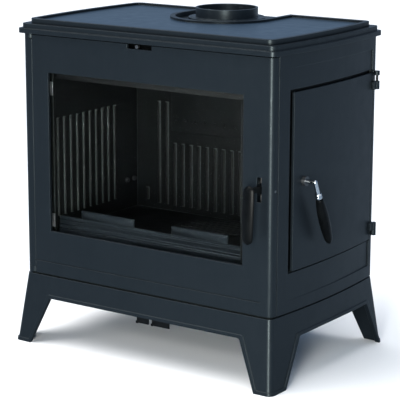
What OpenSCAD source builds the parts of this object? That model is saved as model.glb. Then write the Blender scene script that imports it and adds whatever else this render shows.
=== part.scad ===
// Wood burning stove: cast body on four splayed legs, glazed front door,
// solid side loading door and a round flue collar on a three-tier top.
// X runs to the right along the front, Y to the back, Z up from the floor.

/* [Body] */
// Width of the body over its front corners
body_w = 703; // [680:1:730]
// Depth of the body from front face to back face
body_d = 453; // [440:1:470]
// How far each side bulges out at mid depth
side_bow = 13.6; // [8:0.2:20]
// Radius of the vertical body corners
corner_r = 14; // [12:0.5:18]
// Thickness of the cast panels
wall = 7; // [6:0.5:8]
// Height of the top of the base casting
base_top = 168; // [160:1:172]
// Height of the underside of the top casting
body_top = 753; // [740:1:770]

/* [Base] */
// Overall width over the feet
feet_w = 740; // [725:1:760]
// Overall depth over the feet
feet_d = 503; // [490:1:520]
// Height of the skirt's lower edge above the floor
skirt_low = 115; // [105:1:120]
// Width of the raised bead along the skirt and leg edges
bead_w = 8; // [5:0.5:12]

/* [Top] */
// Height of each of the three top tiers
tier_h = 11; // [9:0.5:13]
// Overhang of the lowest tier past the body
tier_out = 9.9; // [8:0.1:12]
// Width of the raised rim round the hob
rim_w = 12; // [9:0.5:16]
// Depth of the hob field below the rim
hob_sink = 5.5; // [3:0.5:7]

/* [Flue] */
// Outer diameter of the flue collar
flue_d = 150; // [130:1:150]
// Height of the collar's mouth above the floor
flue_top = 805; // [800:1:815]

/* [Front door] */
// Half width of the glass opening
glass_half = 275; // [265:1:278]
// Lower edge of the glass opening
glass_low = 281; // [275:1:290]
// Upper edge of the glass opening
glass_high = 663.5; // [650:0.5:668]

/* [Side door] */
// Front edge of the side door
sd_front = -151.5; // [-154:0.5:-147]
// Rear edge of the side door
sd_rear = 203; // [198:1:203]
// Lower edge of the side door
sd_low = 264.5; // [262:0.5:270]
// Upper edge of the side door
sd_high = 667; // [660:0.5:670]

/* [Firebox] */
// Half width of the firebox between the side liners
fire_half = 305; // [300:1:306]
// Face of the back liner
fire_back = 160; // [150:1:165]
// Top of the hearth
hearth_z = 268; // [262:1:270]
// Spacing of the cast ribs on the liners
rib_pitch = 24.7; // [22:0.1:26]

/* [Hidden] */

hw = body_w / 2;
hd = body_d / 2;
front_y = -hd;
bow_r = (hd * hd + side_bow * side_bow) / (2 * side_bow);
bow_cx = hw + side_bow - bow_r;
big = 900;
fine = 96;
arc_fine = 1440;
gap = 0.3;

// Panels
panel_z0 = base_top + 3.5;
back_bolt_x = 290;
back_bolt_z = [200, 462, 725];

// Base
flare_z = 150;
foot_bead = 2;
arch_front_top = 274;
arch_front_foot = 327;
arch_side_top = [-128, 182];
arch_side_foot = [-194, 238];
arch_corner = 8;

// Top
tier1_z = body_top;
tier2_z = tier1_z + tier_h;
tier3_z = tier2_z + tier_h;
hob_z = tier3_z + tier_h;
tier2_out = 2.7;
tier3_in = 12.1;
tier3_corner = 20;

// Flue
flue_y = 115.6;
flue_r = flue_d / 2;
flue_wall = 5;
pocket_r = 118;
pocket_y = 105;
collar_flange_r = 92;
collar_flange_h = 7;
collar_screw_r = 83.5;

// Front door
door_low = 172.5;
door_high = 750;
barrel_x = -(hw - corner_r) + 0.5;
barrel_y = front_y + corner_r;
barrel_r = 13.8;
lug_low = 186;
lug_high = 740;
pin_r = 4;
door_return = -208;
frame_y = -196;
frame_t = 9;
frame_half = 285;
frame_low = 200;
frame_high = 694;
seat_in = 300;
seat_wall = 8;
seat_y = -205.5;
seat_low = 184;
seat_high = 706;
glass_t = 4;
gasket_t = 2;
clip_z = [306, 624];
clip_screw_x = 294;
glass_y = front_y + wall + gasket_t;
groove_z = 204;
groove_left = -326;
groove_right = 323;
groove_w = 2;
groove_deep = 2;
seam_x = -322.5;
seam_w = 1.8;
notch_low = 739.5;
notch_left = -41;
notch_right = 28;

// Front handle
lever_x = 318;
lever_t = 9;
slot_w = 12;
slot_low = 430;
slot_high = 486;
handle_py = -213.5;
handle_pz = 456;
handle_pin_r = 3.5;
front_grip_y = -262;
front_grip_top = 474;
front_grip_low = 340;
front_grip_t = 7;
tang_low = handle_pz + 1;
tang_high = handle_pz + 11;

// Side door
pocket_front = sd_front - 16;
pocket_rear = sd_rear + 3;
pocket_low = sd_low - 3;
pocket_high = sd_high + 7;
sd_t = 6;
sd_seat = 10.3;
throat_front = -125;
throat_rear = 150;
throat_low = 285;
throat_high = 645;
throat_t = 5;
side_axis_x = 359.6;
side_axis_y = 214;
knuckle_r = 6.2;
side_pin_r = 3;
upper_lug = [660, 670];
upper_knuckle = [627, 646];
lower_lug = [274, 287];
lower_knuckle = [287.4, 305];

// Side handle
boss_y = -112;
boss_z = 464;
spindle_x = 391;
spindle_r = 5;
boss_face = 361.8;
side_lean = 24;
side_grip_len = 124;
side_grip_r = 14;
arm_len = 44;
ferrule_len = 14;

// Air controls
slide_x = -14.5;
pull_x = [-29, 23];
pull_z = 96;

// Firebox
liner_t = 8;
liner_front = -172;
liner_top = 642;
rib_r = 4.5;
air_panel_half = 190;
air_panel_low = 478;
air_panel_t = 8;
guard_y = -181;
guard_step = 290.5;
guard_grooves = [280, 301];
grate_y = 60;
grate_r = 100;
pan_half = 154;
pan_front = -178;
pan_rear = 130;
pan_low = 201;
pan_high = 252;

// The origin sits on the floor under the middle of the whole stove,
// counting the handles: these are its outermost reaches.
reach_left = hw + side_bow + tier_out;
reach_right = spindle_x + side_grip_r;
reach_front = -(front_grip_y - 3 - front_grip_t);
reach_back = feet_d / 2 + foot_bead;
mid_x = (reach_right - reach_left) / 2;
mid_y = (reach_back - reach_front) / 2;

cast = [0.20, 0.22, 0.25];
cast_in = [0.16, 0.18, 0.19];
steel = [0.75, 0.76, 0.78];
black = [0.08, 0.08, 0.09];
rope = [0.25, 0.25, 0.24];

module place() { translate([-mid_x, -mid_y, 0]) children(); }

// Plan outline of the body, inset by d: flat front and back, bowed sides, round corners.
module plan(d = 0, r = corner_r) {
  br = bow_r - d;
  y = hd - d;
  cy = y - r;
  cx = bow_cx + sqrt((br - r) * (br - r) - cy * cy);
  ty = cy * br / (br - r);
  intersection() {
    square([2 * big, 2 * ty], center = true);
    translate([bow_cx, 0]) circle(r = br, $fn = arc_fine);
    translate([-bow_cx, 0]) circle(r = br, $fn = arc_fine);
  }
  square([2 * cx, 2 * y], center = true);
  for (sx = [-1, 1])
    for (sy = [-1, 1])
      translate([sx * cx, sy * cy]) circle(r = r, $fn = fine);
}

module slab(z0, z1) { translate([0, 0, z0]) linear_extrude(z1 - z0) children(); }

// Bowed shell between two insets of the plan outline.
module shell(d0, d1, z0, z1) {
  slab(z0, z1) difference() {
    plan(d0);
    plan(d1, max(corner_r - d1, 2));
  }
}

module block(x0, x1, y0, y1, z0, z1) {
  translate([x0, y0, z0]) cube([x1 - x0, y1 - y0, z1 - z0]);
}

// Rectangular ring in a plane across Y, from y0 to y1.
module ring_y(half, low, high, t, y0, y1) {
  difference() {
    block(-half - t, half + t, y0, y1, low - t, high + t);
    block(-half, half, y0 - 1, y1 + 1, low, high);
  }
}

module rod_x(x0, x1, y, z, r) {
  translate([x0, y, z]) rotate([0, 90, 0]) cylinder(r = r, h = x1 - x0, $fn = fine);
}
module rod_y(x, y0, y1, z, r) {
  translate([x, y0, z]) rotate([-90, 0, 0]) cylinder(r = r, h = y1 - y0, $fn = fine);
}
module rod_z(x, y, z0, z1, r) {
  translate([x, y, z0]) cylinder(r = r, h = z1 - z0, $fn = fine);
}

module hex_y(x, y0, y1, z, r) {
  translate([x, y0, z]) rotate([-90, 0, 0]) cylinder(r = r, h = y1 - y0, $fn = 6);
}

// ---- Base ----

// Opening between two legs: its upper edge, its upper ends and its ends at the floor.
module arch(top, left_top, right_top, left_foot, right_foot) {
  hull() {
    translate([left_top + 0.64 * arch_corner, top - arch_corner])
      circle(r = arch_corner, $fn = fine);
    translate([right_top - 0.64 * arch_corner, top - arch_corner])
      circle(r = arch_corner, $fn = fine);
    polygon([[left_foot, -5], [right_foot, -5], [0, 5]]);
  }
}

// Opening under the skirt seen from the front, grown by g.
module front_arch(g) {
  arch(skirt_low + g, -arch_front_top - g, arch_front_top + g, -arch_front_foot - g,
    arch_front_foot + g);
}

// Opening under the skirt seen from the side, grown by g.
module side_arch(g) {
  arch(skirt_low - 4 + g, arch_side_top[0] - g, arch_side_top[1] + g, arch_side_foot[0] - g,
    arch_side_foot[1] + g);
}

module through_y() { rotate([90, 0, 0]) linear_extrude(2 * big, center = true) children(); }
module through_x() {
  rotate([90, 0, 90]) linear_extrude(2 * big, center = true) children();
}

// Flared outer form of the base, grown by g.
module flare(g) {
  grow_x = feet_w / 2 - hw;
  grow_y = feet_d / 2 - hd;
  hull() {
    slab(flare_z, base_top) plan(-g);
    slab(0, 0.5) scale([(hw + grow_x + g) / hw, (hd + grow_y + g) / hd]) foot_plan();
  }
}

module foot_plan() {
  for (sx = [-1, 1])
    for (sy = [-1, 1])
      translate([sx * (hw - corner_r), sy * (hd - corner_r)]) circle(r = corner_r, $fn = 32);
}

module arches(g) {
  through_y() front_arch(g);
  through_x() side_arch(g);
}

module base_casting() place() color(cast) {
  difference() {
    flare(0);
    translate([0, 0, -1]) flare_inner();
    arches(0);
  }
  intersection() {
    difference() {
      flare(foot_bead);
      translate([0, 0, -1]) flare_inner();
      arches(0);
    }
    union() {
      intersection() {
        through_y() front_arch(bead_w);
        block(-340, 340, -big, big, -5, base_top - 30);
      }
      intersection() {
        through_x() side_arch(bead_w);
        block(-big, big, -215, 249, -5, base_top - 30);
      }
      block(-big, big, -big, big, -5, bead_w);
    }
  }
}

// Hollow inside the base, with a flange left along its top.
module flare_inner() {
  inner = -2 * wall;
  hull() {
    slab(flare_z, base_top - wall + 1) plan(wall);
    slab(-1, 0.5)
      scale([(feet_w / 2 + inner / 2) / hw, (feet_d / 2 + inner / 2) / hd]) foot_plan();
  }
  slab(base_top - 20, base_top + 5) square([body_w - 80, body_d - 80], center = true);
}

module bottom_plate() place() color(cast_in) {
  difference() {
    slab(base_top, base_top + 3.5) plan(wall);
    block(-60, 60, -170, -60, base_top - 1, base_top + 5);
  }
}

// ---- Outer panels ----

// Shallow field on a side, deepest at its rear edge.
module side_field() {
  fade_y = -172;
  fade = 3 / (sd_rear - fade_y);
  slab(200, 722) intersection() {
    translate([hw - 40, fade_y]) square([80, sd_rear - fade_y]);
    difference() {
      square([2 * big, 2 * big], center = true);
      translate([bow_cx + fade * fade_y, -fade * bow_r]) circle(r = bow_r, $fn = arc_fine);
    }
  }
}

module side_shell(y0) {
  intersection() {
    shell(0, wall, panel_z0, body_top);
    block(hw - 22, big, y0, big, 0, big * 2);
  }
}

module left_side_panel() place() color(cast) mirror([1, 0, 0]) difference() {
  side_shell(-196.5);
  side_field();
}

module right_side_panel() place() color(cast) difference() {
  side_shell(door_return + 2.5);
  side_field();
  block(hw - 30, big, pocket_front, pocket_rear, pocket_low, pocket_high);
}

module back_panel() place() color(cast) difference() {
  block(-(hw - 22), hw - 22, hd - wall, hd, panel_z0, body_top);
  block(-262, 262, hd - 2.5, hd + 1, 222, 703);
  for (sx = [-1, 1])
    for (z = back_bolt_z)
      rod_y(sx * back_bolt_x, hd - wall - 1, hd + 1, z, 4.2);
}

module back_panel_bolts() place() color(steel)
  for (sx = [-1, 1])
    for (z = back_bolt_z) {
      rod_y(sx * back_bolt_x, hd - wall - 8, hd, z, 4);
      rod_y(sx * back_bolt_x, hd, hd + 1.2, z, 9);
      hex_y(sx * back_bolt_x, hd + 1.2, hd + 6.5, z, 7.5);
    }

module front_frame() place() color(cast_in) {
  difference() {
    block(-342, 342, frame_y, frame_y + frame_t, panel_z0, door_high);
    block(-frame_half, frame_half, frame_y - 1, frame_y + 20, frame_low, frame_high);
  }
}

module tie_rods() place() color(steel)
  for (sx = [-1, 1])
    for (y = [-178, 208])
      rod_z(sx * 324, y, panel_z0, body_top, 4);

// ---- Top ----

module top_frame() place() color(cast) difference() {
  union() {
    slab(tier1_z, tier2_z) plan(-tier_out, 18);
    slab(tier2_z, tier3_z) plan(-tier2_out, 18);
  }
  rod_z(0, flue_y, tier1_z - 1, tier3_z + 1, flue_r - flue_wall);
  block(-318, 318, -188, 195, tier1_z - 1, tier3_z - 6);
}

// Plan of the notch in the hob round the flue, grown by g.
module pocket(g) {
  translate([0, pocket_y]) circle(r = pocket_r + g, $fn = fine * 2);
  translate([-pocket_r - g, pocket_y]) square([2 * (pocket_r + g), 200]);
}

module hob_plate() place() color(cast) difference() {
  slab(tier3_z, hob_z) difference() {
    plan(tier3_in, tier3_corner);
    pocket(0);
  }
  slab(hob_z - hob_sink, hob_z + 1) difference() {
    plan(tier3_in + rim_w, tier3_corner - rim_w + 4);
    pocket(rim_w);
  }
}

// Lays its children at the four screw places of the collar's flange.
module collar_screw_places()
  for (a = [45:90:315])
    translate([0, flue_y, tier3_z]) rotate([0, 0, a]) translate([collar_screw_r, 0, 0])
      children();

module flue_collar() place() color(cast) difference() {
  union() {
    rod_z(0, flue_y, tier3_z, tier3_z + collar_flange_h, collar_flange_r);
    rod_z(0, flue_y, tier3_z, flue_top, flue_r);
  }
  rod_z(0, flue_y, tier3_z - 1, flue_top + 1, flue_r - flue_wall);
  collar_screw_places() translate([0, 0, -1]) cylinder(r = 4.6, h = 20, $fn = fine);
}

module flue_collar_screws() place() color(steel)
  collar_screw_places() difference() {
    cylinder(r = 4.5, h = collar_flange_h - 0.6, $fn = fine);
    translate([0, 0, collar_flange_h - 3]) cylinder(r = 2.4, h = 5, $fn = 6);
  }

// ---- Firebox ----

module left_liner() place() color(cast_in) {
  block(-fire_half - liner_t, -fire_half, liner_front, fire_back, hearth_z, liner_top);
  for (i = [0:9])
    rod_z(-fire_half, -156 + i * rib_pitch, 302, 543, rib_r);
}

module right_liner() place() color(cast_in) difference() {
  block(fire_half, fire_half + liner_t, liner_front, fire_back, hearth_z, liner_top + 8);
  block(fire_half - 1, fire_half + liner_t + 1, throat_front, throat_rear, throat_low,
    throat_high);
}

module back_liner() place() color(cast_in) {
  block(-fire_half, fire_half, fire_back, fire_back + liner_t, hearth_z, liner_top);
  for (s = [-1, 1]) {
    for (i = [0:7])
      rod_z(s * (i + 0.5) * rib_pitch, fire_back, 284, 445, rib_r);
    for (i = [8:9])
      rod_z(s * (i + 0.5) * rib_pitch, fire_back, 284, 548, rib_r);
    rod_z(s * 11 * rib_pitch, fire_back, 289, 321, rib_r);
  }
}

module liner_bolts() place() color(steel)
  for (y = [114, 143])
    rod_x(-fire_half, -fire_half + 6, y, 343, 6);

module secondary_air_panel() place() color(cast_in) difference() {
  block(-air_panel_half, air_panel_half, fire_back - air_panel_t, fire_back,
    air_panel_low, 595);
  for (i = [-6:6])
    rod_y(i * 29.2, fire_back - air_panel_t - 1, fire_back + 1, 506.5, 3);
}

module side_throat() place() color(cast_in) difference() {
  intersection() {
    block(fire_half + liner_t, hw, throat_front - throat_t, throat_rear + throat_t,
      throat_low - throat_t, throat_high + throat_t);
    slab(0, body_top) plan(18.2, 4);
  }
  block(0, big, throat_front, throat_rear, throat_low, throat_high);
}

module side_door_frame() place() color(cast_in) difference() {
  intersection() {
    union() {
      shell(sd_seat, 18, pocket_low - 6, pocket_high + 6);
      difference() {
        shell(wall + 0.1, 18, pocket_low - 6, pocket_high + 6);
        block(0, big, pocket_front, pocket_rear, pocket_low, pocket_high);
      }
    }
    block(hw - 22, big, pocket_front - 6, pocket_rear + 4, 0, big);
  }
  block(0, big, throat_front, throat_rear, throat_low, throat_high);
}

module baffle_plate() place() color(cast_in)
  translate([0, fire_back, 596]) rotate([-12, 0, 0])
    block(-fire_half + 1, fire_half - 1, -250, -4, 0, 8);

module airwash_deflector() place() color(cast_in)
  block(-frame_half - 12, frame_half + 12, frame_y + frame_t, frame_y + frame_t + 4, 644, 740);

module latch_side_cover() place() color(cast_in)
  block(248, frame_half, frame_y + 2, frame_y + 7, frame_low, 643);

module hearth_plate() place() color(cast_in) difference() {
  block(-fire_half - liner_t, fire_half + liner_t, guard_y + 6, fire_back + liner_t,
    hearth_z - 10, hearth_z);
  rod_z(0, grate_y, hearth_z - 11, hearth_z + 1, grate_r - 8);
  rod_z(0, grate_y, hearth_z - 6, hearth_z + 1, grate_r + 1);
}

// Two upright plates under the hearth, each with a ledge that carries the ash pan.
module hearth_supports() place() color(cast_in)
  for (sx = [-1, 1]) {
    block(sx * 170 - 5, sx * 170 + 5, -172, fire_back, panel_z0, hearth_z - 10);
    block(sx * 156 - 10, sx * 156 + 10, -172, fire_back, pan_low - 5, pan_low);
  }

module grate() place() color(cast_in) difference() {
  rod_z(0, grate_y, hearth_z - 6, hearth_z, grate_r);
  for (i = [-4:4]) {
    half = sqrt(84 * 84 - (i * 19) * (i * 19));
    block(-half, half, grate_y + i * 19 - 4, grate_y + i * 19 + 4, hearth_z - 7, hearth_z + 1);
  }
}

module ash_pan() place() color(steel) {
  difference() {
    block(-pan_half, pan_half, pan_front, pan_rear, pan_low, pan_high);
    block(-pan_half + 2, pan_half - 2, pan_front + 2, pan_rear - 2, pan_low + 2, pan_high + 1);
  }
  difference() {
    block(-40, 40, pan_front - 8, pan_front, pan_low + 20, pan_low + 32);
    block(-34, 34, pan_front - 5, pan_front + 1, pan_low + 19, pan_low + 33);
  }
}

module log_guard() place() color(cast_in) difference() {
  union() {
    block(-frame_half + 1, 247, guard_y, guard_y + 6, 262, 310);
    block(-frame_half + 1, 247, guard_y - 2, guard_y, 262, guard_step);
  }
  for (z = guard_grooves)
    block(-frame_half, 246, guard_y - 3, guard_y + (z < guard_step ? 0 : 2), z, z + groove_w);
}

module log_guard_plates() place() color(cast_in)
  for (x = [[-216, -60], [49, 205]])
    block(x[0], x[1], guard_y, guard_y + 6, 310, 330);

module air_inlet_box() place() color(black) {
  difference() {
    block(-75, 75, -180, -50, pull_z + 4, base_top);
    block(-72, 72, -177, -53, pull_z + 7, base_top + 1);
    for (x = pull_x)
      block(x - 8, x + 8, -140, -80, pull_z, pull_z + 8);
  }
  for (x = pull_x)
    for (s = [-1, 1]) {
      block(x + s * 11.5 - 2, x + s * 11.5 + 2, -178, -60, pull_z - 3.6, pull_z + 4);
      block(x + s * 9.5 - 4, x + s * 9.5 + 4, -178, -60, pull_z - 3.6, pull_z - 0.4);
    }
}

// ---- Hinges and latch fixed to the body ----

module front_hinge_lug(z0, z1) {
  difference() {
    union() {
      rod_z(barrel_x, barrel_y, z0, z1, barrel_r);
      block(barrel_x - 5, barrel_x + 13, barrel_y, frame_y, z0, z1);
    }
    rod_z(barrel_x, barrel_y, z0 - 1, z1 + 1, pin_r);
  }
}

module front_hinge_lugs() place() color(cast) {
  front_hinge_lug(panel_z0, lug_low - gap);
  front_hinge_lug(lug_high + gap, body_top);
}

module front_hinge_pins() place() color(steel) {
  rod_z(barrel_x, barrel_y, panel_z0, lug_low + 24, pin_r);
  rod_z(barrel_x, barrel_y, lug_high - 24, body_top, pin_r);
}

module latch_keeper() place() color(steel)
  block(lever_x - 7, lever_x + 7, frame_y - 8, frame_y, 464, 474);

module side_hinge_lug(z0, z1) {
  difference() {
    union() {
      rod_z(side_axis_x, side_axis_y, z0, z1, knuckle_r);
      block(hw + 1.6, side_axis_x, side_axis_y, side_axis_y + knuckle_r, z0, z1);
    }
    rod_z(side_axis_x, side_axis_y, z0 - 1, z1 + 1, side_pin_r);
  }
}

module side_hinge_lugs() place() color(cast) {
  side_hinge_lug(upper_lug[0], upper_lug[1]);
  side_hinge_lug(lower_lug[0], lower_lug[1]);
}

module side_hinge_pins() place() color(steel) {
  rod_z(side_axis_x, side_axis_y, upper_knuckle[0], upper_lug[1], side_pin_r);
  rod_z(side_axis_x, side_axis_y, lower_lug[0], lower_knuckle[1], side_pin_r);
}

// ---- Front door ----

module front_door() place() color(cast) difference() {
  union() {
    block(barrel_x, 337, front_y, front_y + wall, door_low, door_high);
    intersection() {
      shell(0, wall, door_low, door_high);
      block(330, big, -big, door_return, 0, big);
    }
    rod_z(barrel_x, barrel_y, lug_low, lug_high, barrel_r);
    ring_y(seat_in, seat_low + seat_wall, seat_high, seat_wall, front_y + wall, seat_y);
    for (sx = [-1, 1])
      for (z = clip_z)
        rod_y(sx * clip_screw_x, front_y + wall, glass_y + glass_t, z, 4.5);
    block(seat_in + seat_wall - 0.1, lever_x - lever_t / 2 - 0.8, front_y + wall, seat_y,
      handle_pz - 12, handle_pz + 12);
  }
  block(-glass_half, glass_half, front_y - 1, front_y + wall + 1, glass_low, glass_high);
  block(lever_x - slot_w / 2, lever_x + slot_w / 2, front_y - 1, front_y + wall + 1,
    slot_low, slot_high);
  block(notch_left, notch_right, front_y - 1, front_y + wall + 1, notch_low, big);
  block(groove_left, groove_right, front_y - 1, front_y + groove_deep,
    groove_z - groove_w / 2, groove_z + groove_w / 2);
  block(seam_x - seam_w / 2, seam_x + seam_w / 2, front_y - 1, front_y + 1.2, lug_low, lug_high);
  rod_x(seat_in + 4, big, handle_py, handle_pz, handle_pin_r);
  rod_z(barrel_x, barrel_y, lug_low - 1, lug_high + 1, pin_r + 0.06);
  block(-big, barrel_x + 14.8 + gap, -big, 0, door_low - 1, lug_low);
  block(-big, barrel_x + 14.8 + gap, -big, 0, lug_high, door_high + 1);
  for (sx = [-1, 1])
    for (z = clip_z)
      rod_y(sx * clip_screw_x, front_y + wall + 1, 0, z, 2);
}

module front_door_glass() place() color([0.05, 0.06, 0.07, 0.35])
  block(-287, 287, glass_y, glass_y + glass_t, glass_low - 12, glass_high + 12);

module glass_gasket() place() color(rope)
  ring_y(277, glass_low - 2, glass_high + 2, 9.5, front_y + wall, glass_y);

module door_gasket() place() color(rope)
  ring_y(seat_in - 1, seat_low + seat_wall - 1, seat_high + 1, 10, seat_y, frame_y - gap);

module glass_clips() place() color(steel)
  for (sx = [-1, 1])
    for (z = clip_z)
      difference() {
        block(min(sx * 272, sx * 299), max(sx * 272, sx * 299), glass_y + glass_t,
          glass_y + glass_t + 2.5, z - 16, z + 16);
        rod_y(sx * clip_screw_x, glass_y, 0, z, 2);
      }

module clip_screws() place() color(steel)
  for (sx = [-1, 1])
    for (z = clip_z) {
      rod_y(sx * clip_screw_x, front_y + wall + 1, glass_y + glass_t + 2.5, z, 2);
      rod_y(sx * clip_screw_x, glass_y + glass_t + 2.5, glass_y + glass_t + 5, z, 4.2);
    }

// ---- Front handle ----

module front_handle_lever() place() color(black)
  difference() {
    translate([lever_x - lever_t / 2, 0, 0]) rotate([90, 0, 90]) linear_extrude(lever_t)
      union() {
        translate([handle_py, handle_pz]) circle(r = 9, $fn = fine);
        polygon([[handle_py, handle_pz + 9], [front_grip_y + 12, tang_high],
          [front_grip_y - 1, tang_high], [front_grip_y - 1, tang_low],
          [front_grip_y + 12, tang_low], [handle_py, handle_pz - 9]]);
        translate([handle_py, handle_pz - 5]) square([14, 9.5]);
      }
    rod_x(0, big, handle_py, handle_pz, handle_pin_r + 0.06);
  }

// Flat hanging grip with a slot in its back for the lever's tang.
module front_handle_grip() place() color(black) difference() {
  hull() {
    translate([lever_x - 3, front_grip_y + 2, front_grip_top - 10]) scale([13, 5, 10])
      sphere(r = 1, $fn = 32);
    translate([lever_x - 4, front_grip_y - 3, front_grip_top - 40]) scale([16, front_grip_t, 18])
      sphere(r = 1, $fn = 32);
    translate([lever_x - 6, front_grip_y - 3, front_grip_low + 40]) scale([14, front_grip_t, 20])
      sphere(r = 1, $fn = 32);
    translate([lever_x - 7, front_grip_y, front_grip_low + 9]) scale([10, 5, 9])
      sphere(r = 1, $fn = 32);
  }
  block(lever_x - lever_t / 2, lever_x + lever_t / 2, front_grip_y - 1, 0, tang_low, tang_high);
}

module front_handle_pin() place() color(steel)
  rod_x(seat_in + 4, hw - 0.3, handle_py, handle_pz, handle_pin_r);

// ---- Side door ----

module side_skin(d0, d1, y0, y1, z0, z1) {
  intersection() {
    shell(d0, d1, z0, z1);
    block(hw - 40, big, y0, y1, 0, big);
  }
}

module side_door() place() color(cast) difference() {
  side_skin(0, sd_t, sd_front, sd_rear, sd_low, sd_high);
  rod_x(hw - 40, big, boss_y, boss_z, spindle_r + 0.06);
}

module side_door_inner_plate() place() color(cast_in)
  block(hw - 24, hw - 19, throat_front + 45, throat_rear - 12, throat_low + 8,
    throat_high - 8);

// Four spacers hold the inner plate off the curved door.
module side_door_spacers() place() color(steel)
  for (y = [-60, 118])
    for (z = [320, 610])
      rod_x(hw - 19, bow_cx + sqrt(pow(bow_r - sd_t, 2) - y * y) - 0.3, y, z, 5);

module side_door_gasket() place() color(rope) difference() {
  side_skin(sd_t, sd_seat - gap, throat_front - 14, throat_rear + 14, throat_low - 14,
    throat_high + 14);
  block(0, big, throat_front - 4, throat_rear + 4, throat_low - 4, throat_high + 4);
}

module side_knuckle(z0, z1) {
  difference() {
    union() {
      rod_z(side_axis_x, side_axis_y, z0, z1, knuckle_r);
      block(side_axis_x - 4.7, side_axis_x + 2, sd_rear - 6, side_axis_y, z0, z1);
    }
    rod_z(side_axis_x, side_axis_y, z0 - 1, z1 + 1, side_pin_r + 0.06);
  }
}

module side_door_knuckles() place() color(cast) {
  side_knuckle(upper_knuckle[0], upper_knuckle[1]);
  side_knuckle(lower_knuckle[0], lower_knuckle[1]);
}

// ---- Side handle ----

module side_handle_boss() place() color(steel) difference() {
  rod_x(boss_face - 0.2, boss_face + 8, boss_y, boss_z, 11);
  rod_x(0, big, boss_y, boss_z, spindle_r + 0.06);
  slab(0, big) plan(-0.05);
}

// Frame of the hanging arm: Z runs down along the arm from the end of the spindle.
module arm() {
  translate([spindle_x, boss_y, boss_z]) rotate([180 + side_lean, 0, 0]) children();
}

module side_handle_spindle() place() color(steel) {
  rod_x(hw - 27, spindle_x, boss_y, boss_z, spindle_r);
  translate([spindle_x, boss_y, boss_z]) sphere(r = spindle_r, $fn = fine);
  arm() cylinder(r = spindle_r - 0.2, h = arm_len, $fn = fine);
}

module side_handle_ferrule() place() color(steel) arm()
  translate([0, 0, arm_len - ferrule_len]) difference() {
    cylinder(r = 8, h = ferrule_len, $fn = fine);
    translate([0, 0, -1]) cylinder(r = spindle_r - 0.2, h = ferrule_len + 2, $fn = fine);
  }

module side_handle_grip() place() color(black) arm() translate([0, 0, arm_len])
  rotate_extrude($fn = fine) intersection() {
    hull() {
      square([8.5, 3]);
      translate([0, 36]) scale([side_grip_r, 20]) circle(r = 1, $fn = 32);
      translate([0, 82]) scale([side_grip_r, 24]) circle(r = 1, $fn = 32);
      translate([0, side_grip_len - 8]) circle(r = 8, $fn = 32);
    }
    square([50, 200]);
  }

module side_latch_tongue() place() color(steel) difference() {
  union() {
    rod_x(hw - 27, hw - 20, boss_y, boss_z, 9);
    block(hw - 27, hw - 20, boss_y - 5, boss_y + 5, boss_z - 20, boss_z);
  }
  rod_x(0, big, boss_y, boss_z, spindle_r);
}

// ---- Air controls ----

module air_wash_slide() place() color(black) {
  difference() {
    block(slide_x - 70, slide_x + 70, -223, -192, door_high + 0.4, body_top - gap);
    for (x = [-40, 40])
      block(slide_x + x - 14, slide_x + x + 14, -206, -198, door_high, body_top);
  }
  block(slide_x - 3, slide_x + 3, -219.1, -217.1, 741, door_high + 0.4);
}

module air_wash_knob() place() color(steel)
  rod_y(slide_x, front_y + 0.8, front_y + 7.4, 744.6, 4.4);

// Sliding air valve with a bent pull tab at its front end.
module pull(x, half) {
  block(x - 9, x + 9, -188, -70, pull_z, pull_z + 3.6);
  block(x - half, x + half, -190, -186.8, pull_z - 12, pull_z + 3.6);
  block(x - half, x - half + 6, -194, -190, pull_z - 12, pull_z - 6);
}

module primary_air_pull_left() place() color(black) pull(pull_x[0], 17);
module primary_air_pull_right() place() color(black) pull(pull_x[1], 25);

base_casting();
bottom_plate();
left_side_panel();
right_side_panel();
back_panel();
back_panel_bolts();
front_frame();
top_frame();
hob_plate();
flue_collar();
flue_collar_screws();
tie_rods();
left_liner();
right_liner();
back_liner();
liner_bolts();
secondary_air_panel();
side_throat();
side_door_frame();
baffle_plate();
airwash_deflector();
latch_side_cover();
hearth_plate();
hearth_supports();
grate();
ash_pan();
log_guard();
log_guard_plates();
air_inlet_box();
front_hinge_lugs();
front_hinge_pins();
latch_keeper();
side_hinge_lugs();
side_hinge_pins();
front_door();
front_door_glass();
glass_gasket();
door_gasket();
glass_clips();
clip_screws();
front_handle_lever();
front_handle_grip();
front_handle_pin();
side_door();
side_door_inner_plate();
side_door_spacers();
side_door_gasket();
side_door_knuckles();
side_handle_boss();
side_handle_spindle();
side_handle_ferrule();
side_handle_grip();
side_latch_tongue();
air_wash_slide();
air_wash_knob();
primary_air_pull_left();
primary_air_pull_right();
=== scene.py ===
import math

import bmesh
import bpy
from mathutils import Matrix, Vector


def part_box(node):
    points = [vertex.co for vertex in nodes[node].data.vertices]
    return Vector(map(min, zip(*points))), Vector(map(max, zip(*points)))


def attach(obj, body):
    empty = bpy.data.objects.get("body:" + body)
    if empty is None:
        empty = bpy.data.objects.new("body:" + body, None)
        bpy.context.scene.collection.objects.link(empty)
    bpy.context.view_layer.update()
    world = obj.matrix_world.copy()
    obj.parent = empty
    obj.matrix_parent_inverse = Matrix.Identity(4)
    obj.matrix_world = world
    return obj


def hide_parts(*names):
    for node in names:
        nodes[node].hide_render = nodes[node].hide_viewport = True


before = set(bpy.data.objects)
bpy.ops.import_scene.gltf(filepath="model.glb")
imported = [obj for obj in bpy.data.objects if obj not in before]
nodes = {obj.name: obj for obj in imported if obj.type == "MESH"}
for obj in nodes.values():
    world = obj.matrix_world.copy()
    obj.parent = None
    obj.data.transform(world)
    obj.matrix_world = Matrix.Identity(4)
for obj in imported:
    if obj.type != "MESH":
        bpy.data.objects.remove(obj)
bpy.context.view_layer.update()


# ---- Procedural materials ----

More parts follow.
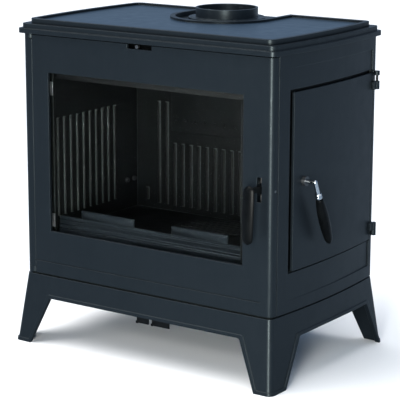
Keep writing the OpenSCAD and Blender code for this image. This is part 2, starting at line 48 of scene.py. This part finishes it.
class Shade:
    """One procedural material, with its patterns placed in metres."""

    def __init__(self, name, edge=0):
        """edge is the radius its sharp edges are shaded round to; the edge mask is 1 along them and
        paints highlights there.
        """
        self.material = bpy.data.materials.new(name)
        self.material.use_nodes = True
        self.tree = self.material.node_tree
        self.tree.nodes.clear()
        self.end = self.add("ShaderNodeOutputMaterial")
        self.place = self.add("ShaderNodeTexCoord").outputs["Object"]
        self.bump = None
        if edge:
            self.bump = self.add("ShaderNodeBevel", {"samples": 6}, Radius=edge).outputs[0]
            flat = self.add("ShaderNodeNewGeometry").outputs["Normal"]
            turned = self.add("ShaderNodeVectorMath", {"operation": "DOT_PRODUCT"})
            self.tree.links.new(self.bump, turned.inputs[0])
            self.tree.links.new(flat, turned.inputs[1])
            # 1 along sharp edges: the mask for painted edge highlights
            self.edge_highlight_mask = self.spread(turned.outputs["Value"], 1, 0, 0.80, 0.985)

    def add(self, kind, settings=None, **inputs):
        node = self.tree.nodes.new(kind)
        for key, value in (settings or {}).items():
            setattr(node, key, value)
        for key, value in inputs.items():
            self.give(node.inputs[key.replace("_", " ")], value)
        return node

    def give(self, socket, value):
        if isinstance(value, bpy.types.NodeSocket):
            self.tree.links.new(value, socket)
        else:
            socket.default_value = value

    def stretched(self, scale):
        mapping = self.add("ShaderNodeMapping", Scale=scale)
        self.tree.links.new(self.place, mapping.inputs["Vector"])
        return mapping.outputs["Vector"]

    def noise(self, scale, detail=3.0, rough=0.5, where=None):
        node = self.add("ShaderNodeTexNoise", Scale=scale, Detail=detail, Roughness=rough)
        self.tree.links.new(where or self.place, node.inputs["Vector"])
        return node.outputs["Fac"]

    def cells(self, scale):
        """A cell pattern: the distance from each cell's middle, and a colour for each cell."""
        node = self.add("ShaderNodeTexVoronoi", Scale=scale)
        self.tree.links.new(self.place, node.inputs["Vector"])
        return node.outputs["Distance"], node.outputs["Color"]

    def spread(self, value, low, high, start=0.3, stop=0.7):
        """Turns values from start to stop into values from low to high."""
        node = self.add("ShaderNodeMapRange")
        self.give(node.inputs["Value"], value)
        node.inputs["From Min"].default_value = start
        node.inputs["From Max"].default_value = stop
        node.inputs["To Min"].default_value = low
        node.inputs["To Max"].default_value = high
        return node.outputs["Result"]

    def blend(self, share, first, second):
        node = self.add("ShaderNodeMix", {"data_type": "RGBA"})
        self.give(node.inputs[0], share)
        self.give(node.inputs[6], first if isinstance(first, bpy.types.NodeSocket) else (*first, 1))
        self.give(node.inputs[7], second if isinstance(second, bpy.types.NodeSocket)
                  else (*second, 1))
        return node.outputs[2]

    def maths(self, what, first, second):
        node = self.add("ShaderNodeMath", {"operation": what})
        self.give(node.inputs[0], first)
        self.give(node.inputs[1], second)
        return node.outputs[0]

    def raise_by(self, height, depth, strength):
        """Adds relief: depth is how far the pattern stands out, in metres."""
        node = self.add("ShaderNodeBump", Strength=strength, Distance=depth)
        self.give(node.inputs["Height"], height)
        if self.bump is not None:
            self.tree.links.new(self.bump, node.inputs["Normal"])
        self.bump = node.outputs["Normal"]

    def finish(self, **sockets):
        shader = self.add("ShaderNodeBsdfPrincipled")
        for key, value in sockets.items():
            self.give(shader.inputs[key.replace("_", " ")], value)
        if self.bump is not None:
            self.tree.links.new(self.bump, shader.inputs["Normal"])
        self.tree.links.new(shader.outputs[0], self.end.inputs["Surface"])
        return self.material


def painted_casting(name="painted_casting", shine=0.24, darkening=0.0):
    """Matt anthracite stove paint over fine sand-cast iron, with a painted highlight along its
    sharp edges, blended towards near-black by a set share.
    """
    s = Shade(name, edge=0.0024)
    cloud = s.spread(s.noise(5, 4), 0, 1)
    mottle = s.spread(s.noise(85, 5, 0.6), 0, 1)
    streak = s.spread(s.noise(1, 3, 0.6, s.stretched((160, 160, 3))), 0, 1)
    colour = s.blend(cloud, (0.0056, 0.0080, 0.0106), (0.0071, 0.0098, 0.0128))
    colour = s.blend(s.maths("MULTIPLY", mottle, 0.35), colour, (0.0102, 0.0129, 0.0160))
    colour = s.blend(s.maths("MULTIPLY", streak, 0.30), colour, (0.0042, 0.0063, 0.0084))
    # lighter along sharp edges: a painted highlight
    colour = s.blend(s.maths("MULTIPLY", s.edge_highlight_mask, 0.30), colour, (0.0204, 0.0245, 0.0272))
    # blended towards near-black by the given share; only the log guard's paint uses it
    colour = s.blend(darkening, colour, (0.0026, 0.0028, 0.0028))
    grain = s.noise(900, 2, 0.6)
    s.raise_by(s.noise(14, 2), 0.0007, 0.5)
    s.raise_by(s.noise(230, 3), 0.00022, 0.55)
    s.raise_by(grain, 0.00012, 0.5)
    rough = s.maths("ADD", s.spread(s.noise(30, 4), 0.31, 0.39), s.spread(grain, -0.02, 0.05))
    return s.finish(Base_Color=colour, Roughness=rough, Specular_IOR_Level=shine,
                    Specular_Tint=(0.77, 0.92, 0.97, 1))


def hob_field_painted_sky():
    """The same paint, smoother, on the sunken field of the hob; its bluer, paler colour is a
    painted reflection of the blue sky.
    """
    s = Shade("hob_field_painted_sky")
    cloud = s.spread(s.noise(7, 4), 0, 1)
    # bluer and paler than the paint: a painted sky reflection
    colour = s.blend(cloud, (0.0092, 0.0205, 0.0390), (0.0115, 0.0240, 0.0450))
    s.raise_by(s.noise(230, 3), 0.00010, 0.4)
    s.raise_by(s.noise(900, 2), 0.00005, 0.4)
    rough = s.spread(s.noise(40, 5), 0.30, 0.38)
    return s.finish(Base_Color=colour, Roughness=rough, Specular_IOR_Level=0.90,
                    Specular_Tint=(0.55, 0.86, 1.0, 1))


def fire_iron(name="fire_iron", highlight_share=0.80):
    """Bare iron inside the fire: blue-black scale, brown heat marks and soot, with a painted
    highlight along its sharp edges.
    """
    s = Shade(name, edge=0.0024)
    darkening = s.spread(s.noise(11, 6, 0.6), 0, 1)
    colour = s.blend(darkening, (0.0032, 0.0042, 0.0044), (0.0014, 0.0017, 0.0018))
    rust = s.spread(s.noise(55, 6, 0.7), 0, 0.18, 0.58, 0.8)
    colour = s.blend(rust, colour, (0.0110, 0.0080, 0.0055))
    # painted highlight along sharp edges, in a pale grey-green
    colour = s.blend(s.maths("MULTIPLY", s.edge_highlight_mask, highlight_share), colour, (0.090, 0.112, 0.106))
    s.raise_by(s.noise(160, 4), 0.0003, 0.5)
    s.raise_by(s.noise(800, 2), 0.00012, 0.5)
    rough = s.spread(darkening, 0.40, 0.62, 0, 1)
    return s.finish(Base_Color=colour, Roughness=rough, Specular_IOR_Level=0.15)


def brushed_steel(name, stretch, tone, rough_low, rough_high):
    """Plain steel with fine drawn lines and faint stains."""
    s = Shade(name, edge=0.0006)
    lines = s.noise(1, 4, 0.6, s.stretched(stretch))
    stain = s.spread(s.noise(40, 4), 0, 1)
    colour = s.blend(stain, tuple(c * 0.86 for c in tone), tone)
    s.raise_by(lines, 0.00006, 0.5)
    rough = s.spread(lines, rough_low, rough_high)
    return s.finish(Base_Color=colour, Roughness=rough, Metallic=1.0)


def chrome(boss_end):
    """Polished chrome with faint finger smears, darkened to near black where X is below boss_end,
    at the door end.
    """
    s = Shade("polished_chrome")
    smear = s.spread(s.noise(70, 5, 0.65), 0, 1, 0.45, 0.75)
    colour = s.blend(smear, (0.62, 0.64, 0.66), (0.50, 0.52, 0.54))
    along = s.add("ShaderNodeSeparateXYZ")
    s.tree.links.new(s.place, along.inputs[0])
    door_end_mask = s.spread(along.outputs["X"], 1, 0, boss_end, boss_end + 0.003)
    # near black from the door end up to boss_end
    colour = s.blend(door_end_mask, colour, (0.030, 0.036, 0.042))
    s.raise_by(s.noise(60, 2), 0.00004, 0.4)
    return s.finish(Base_Color=colour, Roughness=s.spread(smear, 0.05, 0.22, 0, 1), Metallic=1.0)


def galvanised():
    """Zinc-coated sheet with its spangle, for the ash pan."""
    s = Shade("galvanised_sheet")
    _, spangle = s.cells(90)
    split = s.add("ShaderNodeSeparateColor")
    s.tree.links.new(spangle, split.inputs[0])
    tone = split.outputs[0]
    colour = s.blend(tone, (0.30, 0.31, 0.32), (0.46, 0.47, 0.49))
    ash = s.spread(s.noise(20, 6, 0.7), 0, 0.5, 0.5, 0.75)
    colour = s.blend(ash, colour, (0.20, 0.19, 0.18))
    return s.finish(Base_Color=colour, Roughness=s.spread(tone, 0.32, 0.58, 0, 1), Metallic=0.85)


def satin_black(name="satin_black", rough=0.40, shine=0.16):
    """Black coated metal with a fine leathery powder texture."""
    s = Shade(name, edge=0.0010)
    wear = s.spread(s.noise(26, 5, 0.6), 0, 1)
    colour = s.blend(wear, (0.0016, 0.0020, 0.0023), (0.0034, 0.0040, 0.0044))
    pores, _ = s.cells(1300)
    s.raise_by(pores, 0.00010, 0.45)
    s.raise_by(s.noise(30, 2), 0.0002, 0.4)
    return s.finish(Base_Color=colour, Roughness=s.spread(wear, rough - 0.05, rough + 0.08, 0, 1),
                    Specular_IOR_Level=shine)


def rope_seal():
    """Braided glass-fibre rope: two crossing sets of strands."""
    s = Shade("rope_braid")
    strands = []
    for lean in (1, -1):
        turned = s.add("ShaderNodeMapping", Rotation=(0, lean * 0.78, lean * 0.4))
        s.tree.links.new(s.place, turned.inputs["Vector"])
        wave = s.add("ShaderNodeTexWave", Scale=95, Distortion=0.6, Detail=1)
        s.tree.links.new(turned.outputs["Vector"], wave.inputs["Vector"])
        strands.append(wave.outputs["Fac"])
    braid = s.maths("MAXIMUM", strands[0], strands[1])
    fuzz = s.noise(1500, 3, 0.7)
    colour = s.blend(braid, (0.020, 0.020, 0.021), (0.085, 0.085, 0.086))
    colour = s.blend(s.spread(fuzz, 0, 0.35), colour, (0.13, 0.13, 0.128))
    s.raise_by(braid, 0.0009, 0.9)
    s.raise_by(fuzz, 0.0002, 0.6)
    return s.finish(Base_Color=colour, Roughness=0.92, Specular_IOR_Level=0.2, Sheen_Weight=0.3)


def stove_glass():
    """Clear ceramic glass, faintly grey, which lets lamp light through."""
    s = Shade("stove_glass")
    haze = s.spread(s.noise(9, 5, 0.6), 0.0, 0.02)
    glass = s.add("ShaderNodeBsdfGlass", Color=(0.95, 0.96, 0.96, 1), IOR=1.03)
    s.tree.links.new(haze, glass.inputs["Roughness"])
    clear = s.add("ShaderNodeBsdfTransparent", Color=(0.92, 0.94, 0.95, 1))
    path = s.add("ShaderNodeLightPath")
    mix = s.add("ShaderNodeMixShader")
    s.tree.links.new(path.outputs["Is Shadow Ray"], mix.inputs[0])
    s.tree.links.new(glass.outputs[0], mix.inputs[1])
    s.tree.links.new(clear.outputs[0], mix.inputs[2])
    s.tree.links.new(mix.outputs[0], s.end.inputs["Surface"])
    return s.material


def pale_floor():
    """A pale studio floor, seen paler than the light it throws back on the stove."""
    s = Shade("pale_floor")
    tone = s.spread(s.noise(0.6, 3), 0, 1)
    seen = s.blend(tone, (0.92, 0.92, 0.92), (0.94, 0.94, 0.94))
    path = s.add("ShaderNodeLightPath")
    direct = s.maths("MAXIMUM", path.outputs["Is Camera Ray"], path.outputs["Is Transmission Ray"])
    colour = s.blend(direct, (0.27, 0.325, 0.38), seen)
    return s.finish(Base_Color=colour, Roughness=0.9, Specular_IOR_Level=0.1)


paint = painted_casting()
collar_paint = painted_casting("collar_paint", 0.55)
# the log guard's paint, blended 30 % towards near-black
guard_paint = painted_casting("guard_paint", 0.16, 0.30)
field = hob_field_painted_sky()
iron = fire_iron()
# the same iron with only a faint painted edge highlight
iron_faint_highlight = fire_iron("iron_faint_highlight", 0.15)
steel = brushed_steel("brushed_steel", (900, 900, 60), (0.56, 0.57, 0.58), 0.22, 0.42)
dull_steel = brushed_steel("dull_steel", (300, 300, 300), (0.12, 0.125, 0.13), 0.35, 0.6)
bright = chrome(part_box("side_handle_spindle")[0][0] + 0.030)
zinc = galvanised()
black = satin_black()
grip_black = satin_black("grip_black", 0.30, 0.06)
rope = rope_seal()
glass = stove_glass()


# ---- The CAD solids: softened edges and their materials ----

SHARP = math.radians(32)


def soften(name, width):
    """Smooths a casting's curved faces, and when a width is given rounds its sharp edges with weld
    and bevel modifiers.
    """
    node = nodes[name]
    node.data.polygons.foreach_set("use_smooth", [True] * len(node.data.polygons))
    node.data.set_sharp_from_angle(angle=SHARP)
    if width:
        weld = node.modifiers.new("weld", "WELD")
        weld.merge_threshold = 0.00002
        bevel = node.modifiers.new("edge", "BEVEL")
        bevel.width = width
        bevel.segments = 2
        bevel.limit_method = "ANGLE"
        bevel.angle_limit = SHARP
        bevel.harden_normals = True


looks = {
    paint: ["base_casting", "left_side_panel", "right_side_panel", "back_panel", "top_frame",
            "front_hinge_lugs", "side_hinge_lugs", "front_door", "side_door", "side_door_knuckles",
            "hob_plate"],
    collar_paint: ["flue_collar"],
    iron: ["front_frame", "left_liner", "right_liner", "back_liner", "side_throat",
           "side_door_frame", "latch_side_cover", "bottom_plate", "side_door_inner_plate"],
    iron_faint_highlight: ["secondary_air_panel", "baffle_plate", "hearth_plate", "hearth_supports",
                  "grate", "airwash_deflector"],
    guard_paint: ["log_guard", "log_guard_plates"],
    steel: ["glass_clips", "clip_screws", "front_handle_pin", "latch_keeper",
            "side_latch_tongue", "side_door_spacers"],
    dull_steel: ["back_panel_bolts", "flue_collar_screws", "tie_rods", "side_handle_boss",
                 "liner_bolts", "air_wash_knob"],
    zinc: ["ash_pan"],
    bright: ["side_handle_spindle", "side_handle_ferrule"],
    black: ["front_handle_lever", "air_wash_slide", "air_inlet_box", "primary_air_pull_left",
            "primary_air_pull_right", "front_hinge_pins", "side_hinge_pins"],
    grip_black: ["front_handle_grip", "side_handle_grip"],
    rope: ["glass_gasket", "door_gasket", "side_door_gasket"],
    glass: ["front_door_glass"],
}
for material, names in looks.items():
    for name in names:
        nodes[name].data.materials.clear()
        nodes[name].data.materials.append(material)

# the sunken field's upward faces take the hob field material, whose blue colour is a painted sky
# reflection
plate = nodes["hob_plate"].data
plate.materials.append(field)
field_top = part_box("hob_plate")[1][2] - 0.003  # the field lies deeper than this
for face in plate.polygons:
    if face.normal.z > 0.9 and face.center.z < field_top:
        face.material_index = 1

rounded = ["front_frame", "log_guard", "log_guard_plates", "baffle_plate", "airwash_deflector",
           "latch_side_cover", "hearth_supports", "bottom_plate", "side_door_inner_plate",
           "latch_keeper", "air_inlet_box", "air_wash_slide", "primary_air_pull_left",
           "primary_air_pull_right", "ash_pan"]
for name in nodes:
    soften(name, 0.0008 if name in rounded else 0)


# ---- Pieces shaped in mesh code, in place of their CAD stand-ins ----

BODY_MIDDLE = Vector((-15.0, 9.25, 0))


def at(x, y, z):
    """A point given in millimetres from the middle of the stove's body, on the floor."""
    return (BODY_MIDDLE + Vector((x, y, z))) / 1000


def loft(name, rings, material, node, body, closed=False, levels=1):
    """Skins a row of rings with quads and rounds them with a subdivision surface."""
    mesh = bpy.data.meshes.new(name)
    b = bmesh.new()
    rows = [[b.verts.new(point) for point in ring] for ring in rings]
    following = rows[1:] + rows[:1] if closed else rows[1:]
    for row, after in zip(rows, following):
        for i in range(len(row)):
            j = (i + 1) % len(row)
            b.faces.new((row[i], row[j], after[j], after[i]))
    if not closed:
        b.faces.new(rows[0][::-1])
        b.faces.new(rows[-1])
    bmesh.ops.recalc_face_normals(b, faces=b.faces)
    for face in b.faces:
        face.smooth = True
    b.to_mesh(mesh)
    b.free()
    mesh.materials.append(material)
    made = bpy.data.objects.new(name, mesh)
    bpy.context.scene.collection.objects.link(made)
    if levels:
        round_off = made.modifiers.new("round", "SUBSURF")
        round_off.levels = round_off.render_levels = levels
    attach(made, body)
    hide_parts(node)
    return made


def oval(middle, across, along, wide, deep, count, power=1.0):
    """A ring of points round a middle; its section nears a lozenge as power rises over 1."""
    ring = []
    for i in range(count):
        angle = math.tau * i / count
        c, d = math.cos(angle), math.sin(angle)
        ring.append(middle + across * (wide * math.copysign(abs(c) ** power, c))
                    + along * (deep * math.copysign(abs(d) ** power, d)))
    return ring


def round_end(t, length):
    """Closes a form like a dome over the last part of its length."""
    return math.sqrt(max(0.0, 1 - max(0.0, (t - 1 + length) / length) ** 2))


lean = math.radians(24)
arm = Vector((0, math.sin(lean), -math.cos(lean)))
across = Vector((1, 0, 0))
outward = arm.cross(across)
spindle_end = at(391, -112, 464)
ferrule_from, ferrule_length = 0.0303, 0.0136
grip_from, grip_length = 0.0443, 0.1235


def side_grip():
    """A swelling grip whose section is a soft lozenge, so a ridge runs down its front."""
    twist = 0.95
    ridge = across * math.cos(twist) - outward * math.sin(twist)
    flank = across * math.sin(twist) + outward * math.cos(twist)
    rings = []
    for i in range(31):
        t = i / 30 * 0.996
        swell = 0.0086 + 0.0050 * math.sin(math.pi * min(1, t / 0.94)) ** 0.8
        size = swell * round_end(t, 0.10)
        rings.append(oval(spindle_end + arm * (grip_from + grip_length * t), ridge, flank,
                          size, size * 0.96, 24, 1.4))
    made = loft("side_grip_moulded", rings, grip_black, "side_handle_grip", "side_handle")


def side_ferrule():
    """The turned ferrule between the arm and its grip, with a groove round it."""
    rings = []
    for i in range(25):
        t = i / 24
        edge = (1 - abs(2 * t - 1) ** 10) ** 0.5
        groove = 0.0007 * math.exp(-((t - 0.45) / 0.07) ** 2)
        size = 0.0052 + 0.0027 * edge - groove
        rings.append(oval(spindle_end + arm * (ferrule_from + ferrule_length * t), across, outward,
                          size, size, 28))
    made = loft("side_ferrule_turned", rings, bright, "side_handle_ferrule", "side_handle")


def front_grip():
    """The long grip of the lift handle, keeled along its front."""
    start = Vector((315.5, -262, 473.4))
    run = Vector((-4.2, 0, -132.8))
    bow = Vector((0, -2.6, 0))
    rings = []
    for i in range(37):
        t = i / 36
        ends = round_end(t, 0.10) * round_end(1 - t, 0.10)
        wide = (0.0128 + 0.0030 * math.sin(math.pi * min(1, 0.15 + t * 0.8))) * max(0.05, ends)
        deep = 0.0066 * max(0.05, ends) ** 0.8
        middle = at(*(start + run * t + bow * math.sin(math.pi * t)))
        rings.append(oval(middle, across, Vector((0, 1, 0)), wide, deep, 24, 1.35))
    made = loft("front_grip_moulded", rings, grip_black, "front_handle_grip", "front_handle")


def door_rope():
    """The rope seal behind the glazed door, swept round its seat with its strands standing up."""
    lo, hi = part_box("door_gasket")
    inset, bend = 0.005, 0.009
    half, low, high = (hi[0] - lo[0]) / 2 - inset, lo[2] + inset, hi[2] - inset
    x_mid, y_mid = (lo[0] + hi[0]) / 2, (lo[1] + hi[1]) / 2
    corners = [(x_mid + half - bend, high - bend, 0), (x_mid - half + bend, high - bend, 90),
               (x_mid - half + bend, low + bend, 180), (x_mid + half - bend, low + bend, 270)]
    path = []
    for n, (x, z, start) in enumerate(corners):
        for i in range(7):
            angle = math.radians(start + 90 * i / 6)
            outer = Vector((math.cos(angle), 0, math.sin(angle)))
            path.append((Vector((x, y_mid, z)) + outer * bend, outer))
        x2, z2, _ = corners[(n + 1) % 4]
        first, outer = path[-1]
        last = Vector((x2, y_mid, z2)) + outer * bend
        steps = int((last - first).length / 0.006)
        path += [(first.lerp(last, i / steps), outer) for i in range(1, steps)]
    rings = []
    for n, (middle, outer) in enumerate(path):
        ring = []
        for i in range(16):
            angle = math.tau * i / 16
            size = 0.0042 + 0.0003 * math.sin(3 * angle + n * 1.1)
            ring.append(middle + outer * (size * math.cos(angle))
                        + Vector((0, size * math.sin(angle), 0)))
        rings.append(ring)
    made = loft("door_rope_braided", rings, rope, "door_gasket", "front_door", closed=True,
                levels=0)


side_grip()
side_ferrule()
front_grip()
door_rope()


# ---- Camera, floor and light ----

turn, rise, roll = (math.radians(a) for a in (34.86, 12.896, 0.127))
back = Vector((math.sin(turn) * math.cos(rise), -math.cos(turn) * math.cos(rise), math.sin(rise)))
level = Vector((math.cos(turn), math.sin(turn), 0))
upright = back.cross(level)
side = level * math.cos(roll) + upright * math.sin(roll)
top = upright * math.cos(roll) - level * math.sin(roll)
aim = Vector((-0.01285, 0.01075, 0.3515))
distance = 4.0588
lens = bpy.data.cameras.new("camera")
lens.sensor_width = 36
lens.lens = 152.02
lens.clip_end = 200
camera = bpy.data.objects.new("camera", lens)
facing = Matrix((side, top, back)).transposed().to_4x4()
camera.matrix_world = Matrix.Translation(aim + back * distance) @ facing
bpy.context.scene.collection.objects.link(camera)
bpy.context.scene.camera = camera


def make_floor(half):
    """A flat square floor, half as wide as the number given each way."""
    mesh = bpy.data.meshes.new("floor")
    b = bmesh.new()
    signs = ((-1, -1), (1, -1), (1, 1), (-1, 1))
    corners = [b.verts.new((x * half, y * half, 0)) for x, y in signs]
    b.faces.new(corners)
    b.to_mesh(mesh)
    b.free()
    mesh.materials.append(pale_floor())
    made = bpy.data.objects.new("floor", mesh)
    bpy.context.scene.collection.objects.link(made)
    return made


FLOOR_HALF = 40
make_floor(FLOOR_HALF)


def lamp(name, place, target, size, power, colour):
    """A soft panel lamp turned to a target."""
    light = bpy.data.lights.new(name, "AREA")
    light.shape = "RECTANGLE"
    light.size, light.size_y = size
    light.energy = power
    light.color = colour
    made = bpy.data.objects.new(name, light)
    made.location = place
    direction = Vector(target) - Vector(place)
    made.rotation_euler = direction.to_track_quat("-Z", "Y").to_euler()
    bpy.context.scene.collection.objects.link(made)


lamp("key", (-2.6, -4.0, 2.4), (0, 0, 0.4), (1.4, 1.4), 31, (1.0, 0.97, 0.95))
lamp("window", (1.5, -3.0, 1.7), (-0.2, 0, 0.4), (0.5, 0.5), 26, (0.98, 1.0, 0.99))
lamp("corner", (1.25, -2.3, 0.45), (0.36, -0.23, 0.42), (0.45, 0.9), 74, (1.0, 1.0, 0.94))

sun = bpy.data.lights.new("overhead", "SUN")
sun.energy = 3.5
sun.angle = math.radians(60)
sun.color = (1.0, 0.98, 0.95)
overhead = bpy.data.objects.new("overhead", sun)
overhead.rotation_euler = Vector((0.3, 0.2, -1)).to_track_quat("-Z", "Y").to_euler()
bpy.context.scene.collection.objects.link(overhead)

world = bpy.data.worlds.new("studio")
world.use_nodes = True
sky = world.node_tree
sky.nodes["Background"].inputs["Color"].default_value = (0.50, 0.69, 0.98, 1)
sky.nodes["Background"].inputs["Strength"].default_value = 0.45
backdrop = sky.nodes.new("ShaderNodeBackground")  # what shows past the floor's far edge
backdrop.inputs["Color"].default_value = (0.97, 0.98, 1.0, 1)
path = sky.nodes.new("ShaderNodeLightPath")
choose = sky.nodes.new("ShaderNodeMixShader")
sky.links.new(path.outputs["Is Camera Ray"], choose.inputs[0])
sky.links.new(sky.nodes["Background"].outputs[0], choose.inputs[1])
sky.links.new(backdrop.outputs[0], choose.inputs[2])
sky.links.new(choose.outputs[0], sky.nodes["World Output"].inputs["Surface"])
bpy.context.scene.world = world
bpy.context.scene.view_settings.view_transform = "Standard"
